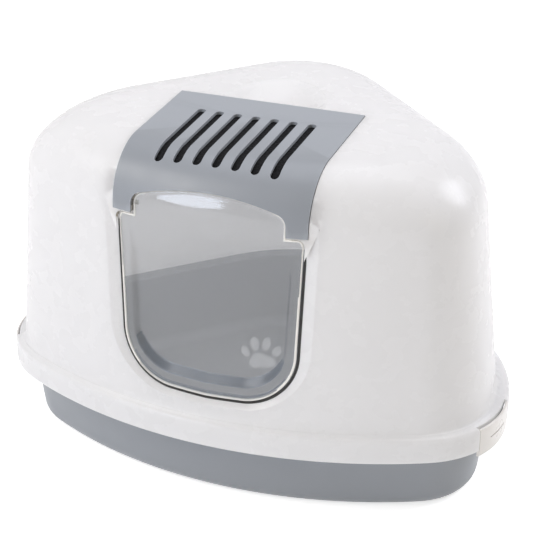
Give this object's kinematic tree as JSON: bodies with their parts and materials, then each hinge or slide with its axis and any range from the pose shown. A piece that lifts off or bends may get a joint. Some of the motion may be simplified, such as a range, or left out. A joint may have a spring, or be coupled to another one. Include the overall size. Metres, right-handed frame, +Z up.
{
  "type": "hooded corner cat litter box",
  "caption": "Corner cat litter box: pan, lift-off hood with flared lip, vented filter cover, clear two-way swing door and side latches.",
  "frame": {"origin": "middle of the footprint, on the surface that the pan stands on", "axes": "+Z up, -Y towards the door, X across the width"},
  "size_m": [0.5898, 0.455, 0.3989],
  "materials": {
    "tray_plastic": "satin grey moulded plastic with a fine grain",
    "hood_plastic": "glossy white moulded plastic",
    "panel_plastic": "satin light grey moulded plastic",
    "carbon_foam": "open-cell black carbon foam",
    "clear_plastic": "hazy clear moulded plastic",
    "latch_plastic": "satin warm white moulded plastic"
  },
  "bodies": {
    "tray": {"tray": "tray_plastic"},
    "hood": {"hood": "hood_plastic", "filter_pad": "carbon_foam"},
    "vent_panel": {"vent_panel": "panel_plastic"},
    "door": {"door_flap": "clear_plastic"},
    "latch_right": {"latch_right": "latch_plastic"},
    "latch_left": {"latch_left": "latch_plastic"}
  },
  "joints": [
    {"name": "hood_lift", "type": "slide", "parent": "tray", "child": "hood", "axis": [0, 0, 1], "range_m": [0, 0.15]},
    {"name": "panel_lift", "type": "slide", "parent": "hood", "child": "vent_panel", "axis": [0, 0, 1], "range_m": [0, 0.08]},
    {"name": "door_swing", "type": "hinge", "parent": "hood", "child": "door", "pos_m": [0, -0.193, 0.335], "axis": [1, 0, 0], "range_deg": [-80, 80]},
    {"name": "latch_right_pivot", "type": "hinge", "parent": "hood", "child": "latch_right", "pos_m": [0.28709, -0.098, 0.101], "axis": [-0.1719, -0.9851, 0], "range_deg": [0, 25]},
    {"name": "latch_left_pivot", "type": "hinge", "parent": "hood", "child": "latch_left", "pos_m": [-0.28709, -0.098, 0.101], "axis": [-0.1719, 0.9851, 0], "range_deg": [0, 25]}
  ]
}
